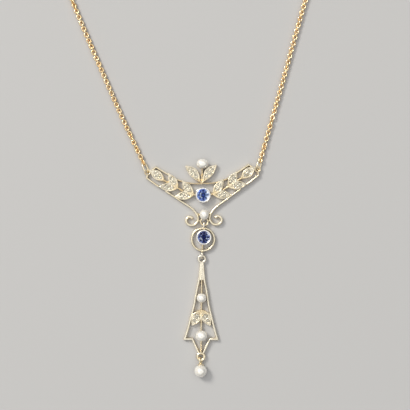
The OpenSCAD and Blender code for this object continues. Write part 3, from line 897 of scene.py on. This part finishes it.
def nacre():
    """Cream pearl: a soft body under a smooth, finely pitted skin."""
    material, tree, bsdf = shader("nacre")
    patches = cloud(tree, SHADES)
    tree.links.new(blended(tree, patches, NACRE, NACRE_SHADE), bsdf.inputs["Base Color"])
    tree.links.new(ranged(tree, patches, 0.0, 1.0, 0.2, 0.28), bsdf.inputs["Roughness"])
    for name, value in (
        ("Metallic", 0.3),
        ("Subsurface Weight", 0.05),
        ("Subsurface Radius", (0.0006, 0.0005, 0.0004)),
        ("Subsurface Scale", 1.0),
        ("IOR", 1.6),
        ("Coat Weight", 1.0),
        ("Coat Roughness", 0.04),
    ):
        bsdf.inputs[name].default_value = value
    pits = object_noise(tree, PEARL_PITS)
    bump = node(tree, "Bump", Height=pits, Strength=0.06, Distance=PEARL_PIT_DEPTH)
    tree.links.new(bump.outputs["Normal"], bsdf.inputs["Normal"])
    return material


# Pieces


def wing(piece, move):
    """One side of the panel: its rails, stems, scroll, leaves and eye."""
    # The upper rail and the stems get painted shade, as they lie low between the leaves
    rail(piece, spline(UPPER_RAIL, 6), THIN_RAIL_W, RAIL_H, move, warm=0.75, shade_and_matt=0.6)
    rail(piece, UPPER_END_RAIL, RAIL_W, RAIL_H, move, warm=0.1)
    rail(piece, END_BAR, RAIL_W, RAIL_H, move, warm=0.15)
    rail(piece, LOWER_RAIL, RAIL_W, RAIL_H, move, warm=0.1)
    for stem in STEMS:
        rail(piece, stem, STEM_W, RAIL_H, move, warm=0.8, shade_and_matt=0.5)
    line = spline(SCROLL, 8)
    rail(piece, line, np.interp(np.linspace(0, 1, len(line)), *SCROLL_WIDTHS), RAIL_H, move)
    rail_end(piece, line[-1], SCROLL_END_D, RAIL_H, move)
    rail(piece, SOLDER_BAR, SOLDER_BAR_W, LINK_Z, move, warm=0.3)
    for row in WING_LEAVES:
        leaf(piece, row, move)
    ring(piece, (EYE_D - EYE_WIRE) / 2, EYE_WIRE, move @ shift(*EYE_AT, LINK_Z), warm=0.4)


def panel(material):
    piece = Piece()
    for side in SIDES:
        wing(piece, ON_PANEL @ side)
        for row in FLOWER_LEAVES:
            leaf(piece, row, ON_PANEL @ shift(FLOWER_X, 0) @ side)
    stem_under_pearls(piece, FLOWER_STEM, 50, FLOWER_STEM_W, PANEL_PEARLS, ON_PANEL, 0.5)
    # The pearl bridge is coloured wholly as darkened ground: painted shade under the pearl
    rail(piece, PEARL_BRIDGE, PEARL_BRIDGE_W, PEARL_BRIDGE_H, ON_PANEL, warm=0.5, shade_and_matt=1.0)
    collet(piece, ON_PANEL)
    for size, at in PANEL_PEARLS.values():
        pearl_seat(piece, at, size, ON_PANEL)
    lower_ring = arc((LOWER_RING_D - LINK_WIRE) / 2, *LOWER_RING_ARC, 40)
    place = ON_PANEL @ shift(*LOWER_RING_AT, LINK_Z)
    wire(piece, lower_ring, LINK_WIRE / 2, place, closed=False, sides=14, warm=0.3)
    piece.finish("panel_metal", material, "panel_frame")


def circle(material):
    """The ring with its off-centre collet, the pegs above and below that, and the two loops."""
    piece = Piece()
    outer, inner, top = CIRCLE_D / 2, CIRCLE_D / 2 - CIRCLE_W, RAIL_H
    profile = [
        (inner + 0.03, 0), (outer - 0.05, 0), (outer, 0.08), (outer, 0.72 * top), (outer - 0.02, 0.86 * top),
        (outer - 0.08, 0.95 * top), (outer - 0.17, 0.99 * top), (outer - 0.25, top),
        (inner + 0.17, 0.99 * top), (inner + 0.08, 0.95 * top), (inner + 0.02, 0.86 * top),
        (inner, 0.72 * top), (inner, 0.08), (inner + 0.03, 0),
    ]
    lathe(piece, profile, ON_CIRCLE, 128, warm=0.05)
    x, y = CIRCLE_COLLET_AT
    collet(piece, ON_CIRCLE @ shift(x, y))
    from_middle, in_ring = COLLET_D / 2 - PEG_IN_COLLET, inner + PEG_IN_RING
    rail(piece, [(x, y + from_middle), (x / 2, in_ring)], UPPER_PEG_W, PEG_H, ON_CIRCLE, warm=0.3)
    rail(piece, [(0, y - from_middle), (0, -in_ring)], LOWER_PEG_W, PEG_H, ON_CIRCLE, warm=0.6)
    for loop_y in CIRCLE_LOOPS_Y:
        upright_loop(piece, loop_y, ON_CIRCLE)
    bead(piece, (0, SOLDER_BALL_Y, LINK_Z), SOLDER_BALL_D / 2, ON_CIRCLE, steps=16)
    piece.finish("circle_metal", material, "circle_drop")


def drop(material):
    """The long drop: rails, middle stem, top plate, chevron, pearl cups, and a ring at each end."""
    piece = Piece()
    rails = np.concatenate([spline(DROP_RAIL, 5), DROP_FOOT])
    for side in SIDES:
        move = ON_DROP @ side
        rail(piece, rails, DROP_RAIL_W, RAIL_H, move, warm=-0.2)
        for row in CHEVRON_LEAVES:
            leaf(piece, row, move)
    stem_under_pearls(piece, DROP_STEM, 180, DROP_STEM_W, DROP_PEARLS, ON_DROP, 0.3)
    rail(piece, WEB, WEB_W, WEB_H, ON_DROP, warm=-0.25)
    for size, at in DROP_PEARLS.values():
        pearl_seat(piece, at, size, ON_DROP)
    ring(piece, (TOP_RING_D - TOP_RING_WIRE) / 2, TOP_RING_WIRE, ON_DROP @ shift(0, 0, LINK_Z), warm=-0.3)
    foot = ON_DROP @ shift(0, -LONG_DROP_L, LINK_Z)
    ring(piece, (FOOT_RING_D - FOOT_RING_WIRE) / 2, FOOT_RING_WIRE, foot, warm=0.1)
    piece.finish("long_drop_metal", material, "long_drop")


def end_cap(material):
    """The end pearl's cap, with a peg into the pearl and a loop through the foot ring."""
    piece = Piece()
    ring(piece, END_LOOP_R, FINE_WIRE, ON_END @ turn("y", END_LOOP_TURN))
    r = END_PEARL_D / 2
    cap = [
        (0, r - END_PEG_L), (0.2, r - END_PEG_L), (0.2, r + 0.03), (0.45, r - 0.01), (0.8, r - 0.15),
        (0.88, r - 0.15), (0.9, r - 0.08), (0.82, r + 0.03), (0.6, r + 0.13), (0.36, r + 0.2),
        (0.26, r + 0.26), (0.22, r + 0.38), (0, r + 0.4),
    ]
    lathe(piece, cap, ON_END @ shift(0, -END_PEARL_ALONG) @ turn("x", -90), 40)
    piece.finish("end_cap_metal", material, "end_cap")


def jump_rings(material):
    for name, (at, heading, length, width) in JUMP_RINGS.items():
        piece = Piece()
        move = shift(*at, LINK_Z) @ turn("z", heading) @ turn("x", JUMP_LEAN)
        wire(piece, long_ring_path(length, width, JUMP_WIRE), JUMP_WIRE / 2, move, sides=14)
        piece.finish(name + "_wire", material, name)


def pearl(name, size, move, bore_depth, material):
    """A slightly uneven pearl in place of a node, drilled from below for its peg."""
    steps, rows = 64, 40
    random = np.random.default_rng(PEARL_SEEDS[name])
    level = unit_circle(steps)
    mouth = math.asin(2 * PEARL_BORE_R / min(size[:2]))
    polar = np.linspace(mouth, math.pi, rows)[:-1]
    rounds = [np.column_stack([level * math.sin(p), np.full(steps, -math.cos(p))]) for p in polar]
    ball = np.vstack(rounds + [[(0, 0, 1)]])
    lumps = sum(
        random.uniform(*LUMPS) * np.sin(ball @ random.normal(0, waves, 3) + random.uniform(0, 6))
        for waves in LUMP_WAVES
    )
    ball *= (np.array(size) / 2) * (PEARL_SHARE + lumps)[:, None]
    end = bore_depth - size[2] / 2
    bore = np.column_stack([level * PEARL_BORE_R, np.full(steps, end)])
    places = np.vstack([bore, ball, [(0, 0, end)]])
    top, bottom = len(places) - 2, len(places) - 1
    faces = strips(rows, steps)
    for k in range(steps):
        j = (k + 1) % steps
        faces += [(bottom, j, k), (top, top - steps + k, top - steps + j)]
    piece = Piece()
    piece.add(places, faces, move)
    piece.finish(name + "_nacre", material, name, crease=60)


def pearls(material):
    for part, move in ((PANEL_PEARLS, ON_PANEL), (DROP_PEARLS, ON_DROP)):
        for name, (size, at) in part.items():
            half = size[2] / 2
            pearl(name, size, move @ shift(*at, CUP_H + SEAT_GAP + half), half + 0.05, material)
    move = ON_END @ shift(0, -END_PEARL_ALONG) @ turn("x", 90)
    pearl("end_pearl", (END_PEARL_D,) * 3, move, END_PEG_L + 0.05, material)


def link_form():
    """Corners and faces of one link, along X in the XY plane."""
    a = angles(20)
    half = np.array([(LINK_L - LINK_T) / 2, (LINK_W - LINK_T) / 2])
    line = np.stack([
        half[0] * np.sign(np.cos(a)) * np.abs(np.cos(a)) ** LINK_SQUARE,
        half[1] * np.sign(np.sin(a)) * np.abs(np.sin(a)) ** LINK_SQUARE,
        0 * a,
    ], 1)
    form = Piece()
    wire(form, line, LINK_T / 2, sides=8)
    return np.concatenate(form.places), form.faces


def chain(name, route, ends, twists, material):
    """Links along a route, every other one a quarter turn further than the twists say."""
    line = spline([(x, y, CHAIN_Z) for x, y in route], 24)
    along = np.concatenate([[0], np.cumsum(np.linalg.norm(np.diff(line, axis=0), axis=1))])
    count = round(along[-1] / LINK_PITCH) + 1
    at = np.linspace(0, along[-1], count)
    centres = np.stack([np.interp(at, along, line[:, k]) for k in range(3)], 1)
    for (height, links), order in zip(ends, (1, -1)):
        share = np.clip(1 - np.arange(count)[::order] / links, 0, 1)
        centres[:, 2] += share * (height - CHAIN_Z)
    heading = np.gradient(centres, axis=0)
    heading /= np.linalg.norm(heading, axis=1)[:, None]
    side = np.cross((0, 0, 1), heading)
    side /= np.linalg.norm(side, axis=1)[:, None]
    up = np.cross(heading, side)
    rolls = np.interp(np.arange(count), *zip(*twists)) + 90 * (np.arange(count) % 2)
    places, faces = link_form()
    piece = Piece()
    for k in range(count):
        c, s = math.cos(math.radians(rolls[k])), math.sin(math.radians(rolls[k]))
        move = np.eye(4)
        move[:3, 0] = heading[k]
        move[:3, 1] = c * side[k] + s * up[k]
        move[:3, 2] = c * up[k] - s * side[k]
        move[:3, 3] = centres[k]
        piece.add(places, faces, move)
    piece.finish(name + "_links", material, name, crease=180)


def clasp(material):
    """A spring ring with its collars, eye and thumb tab, and the ring that it closes on."""
    piece = Piece()
    move = shift(*CLASP_AT, CLASP_Z) @ turn("y", -CLASP_LIFT)
    ring(piece, CLASP_R, CLASP_WIRE, move, steps=96, sides=20)
    for angle in CLASP_COLLARS:
        a = math.radians(angle)
        at = shift(CLASP_R * math.cos(a), CLASP_R * math.sin(a)) @ turn("z", angle) @ turn("x", 90)
        ring(piece, CLASP_WIRE / 2 + 0.005, CLASP_COLLAR_WIRE, move @ at, steps=28, sides=8)
    eye_x = -CLASP_R - CLASP_WIRE / 2 - CLASP_EYE_R
    ring(piece, CLASP_EYE_R, CLASP_EYE_WIRE, move @ shift(eye_x, 0, CLASP_EYE_UP) @ turn("x", 90), steps=36)
    r, end = CLASP_TAB_D / 2, CLASP_TAB_L
    tab = [
        (0, 0), (r, 0), (r, end - 0.3), (r + 0.06, end - 0.2), (r + 0.06, end - 0.08), (r - 0.03, end),
        (0, end),
    ]
    lathe(piece, tab, move @ shift(0, CLASP_R) @ turn("x", -90), 28)
    piece.finish("clasp_metal", material, "clasp")

    loop = Piece()
    x = CLASP_AT[0] + CLASP_R - CLASP_WIRE / 2 - FINE_WIRE / 2 - CLASP_GAP + CLASP_RING_R
    ring(loop, CLASP_RING_R, FINE_WIRE, shift(x, CLASP_AT[1], CLASP_RING_Z) @ turn("x", CLASP_RING_LEAN))
    loop.finish("clasp_ring_wire", material, "clasp_ring")


def dress_stones():
    """The stones' nodes keep their cut shapes and take their materials."""
    looks = {"panel_sapphire": gem(*PALE_SAPPHIRE), "drop_sapphire": gem(*NAVY_SAPPHIRE)}
    clear = gem(*DIAMOND)
    for name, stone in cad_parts.items():
        if name in looks or name.startswith("diamond"):
            stone.data.materials.clear()
            stone.data.materials.append(looks.get(name, clear))


# Floor, lights and camera

FLOOR_HALF = 15.0
FLOOR_DOWN = 0.00002
FLOOR_COLOUR = rgb(0.51, 0.505, 0.496)

# Brightness of the light tent by height, the sine of the elevation: dim low down, a bright roof, a dark hole
TENT = (
    (0.0, 0.5), (0.1, 0.4), (0.3, 0.12), (0.6, 0.25), (0.74, 0.9), (0.9, 1.0), (0.98, 0.95), (0.993, 0.1),
    (1.0, 0.06),
)
TENT_BRIGHT_SIDE = (-0.6, 0.5, 0.62)
TENT_STRENGTHS = (0.42, 1.62)  # on the dark and on the bright side

# Lamps: name, place in metres, side, power, colour
LAMPS = (
    ("key", (-0.84, 0.78, 1.08), 0.42, 14.4, (1.0, 0.97, 0.92)),
    ("fill", (1.05, -0.3, 0.9), 0.75, 0.9, (0.92, 0.95, 1.0)),
)


def light_tent():
    """A soft white tent, brighter on the key's side, with a hole over the necklace."""
    world = bpy.data.worlds.new("tent")
    bpy.context.scene.world = world
    world.use_nodes = True
    tree = world.node_tree
    way = node(tree, "TexCoord").outputs["Generated"]
    height = node(tree, "SeparateXYZ", Vector=way).outputs["Z"]
    ramp = node(tree, "ValToRGB", Fac=height)
    stops = ramp.color_ramp.elements
    for at, _ in TENT[1:-1]:
        stops.new(at)
    for stop, (at, grey) in zip(stops, TENT):
        stop.position, stop.color = at, rgb(grey, grey, grey)
    side = vector_node(tree, "DOT_PRODUCT", way, TENT_BRIGHT_SIDE)
    background = tree.nodes["Background"]
    tree.links.new(ramp.outputs["Color"], background.inputs["Color"])
    tree.links.new(ranged(tree, side, -0.5, 1.0, *TENT_STRENGTHS), background.inputs["Strength"])


def floor():
    half = FLOOR_HALF
    corners = [(-half, -half, 0), (half, -half, 0), (half, half, 0), (-half, half, 0)]
    mesh = bpy.data.meshes.new("floor")
    mesh.from_pydata(corners, [], [(0, 1, 2, 3)])
    ground = bpy.data.objects.new("floor", mesh)
    ground.location.z = -FLOOR_DOWN
    bpy.context.scene.collection.objects.link(ground)
    material, _, bsdf = shader("floor")
    bsdf.inputs["Base Color"].default_value = FLOOR_COLOUR
    bsdf.inputs["Roughness"].default_value = 0.75
    bsdf.inputs["Specular IOR Level"].default_value = 0.2
    mesh.materials.append(material)


def lamps():
    for name, at, size, power, colour in LAMPS:
        light = bpy.data.lights.new(name, "AREA")
        light.energy, light.size, light.color = power, size, colour
        lamp = bpy.data.objects.new(name, light)
        lamp.location = at
        lamp.rotation_euler = (-Vector(at)).to_track_quat("-Z", "Y").to_euler()
        lamp.visible_camera = False
        bpy.context.scene.collection.objects.link(lamp)


def camera():
    lens = bpy.data.cameras.new("camera")
    lens.lens, lens.sensor_width = LENS, SENSOR
    lens.clip_start, lens.clip_end = 0.001, 10
    eye = bpy.data.objects.new("camera", lens)
    distance = FRAME_SIDE * LENS / SENSOR
    eye.location = (FRAME_CENTRE[0] * MM, FRAME_CENTRE[1] * MM, (FRAME_Z + distance) * MM)
    bpy.context.scene.collection.objects.link(eye)
    bpy.context.scene.camera = eye


bpy.context.scene.view_settings.view_transform = "Standard"
floor()
light_tent()
lamps()
camera()

white = white_front()
gold = yellow_gold("yellow_gold", *CHAIN_GOLD)
pale_gold = yellow_gold("pale_gold", *PALE_GOLD)
panel(white)
circle(white)
drop(white)
end_cap(pale_gold)
jump_rings(pale_gold)
pearls(nacre())
chain("left_chain", LEFT_ROUTE, LEFT_ENDS, LEFT_TWISTS, gold)
chain("right_chain", RIGHT_ROUTE, RIGHT_ENDS, RIGHT_TWISTS, gold)
clasp(gold)
dress_stones()
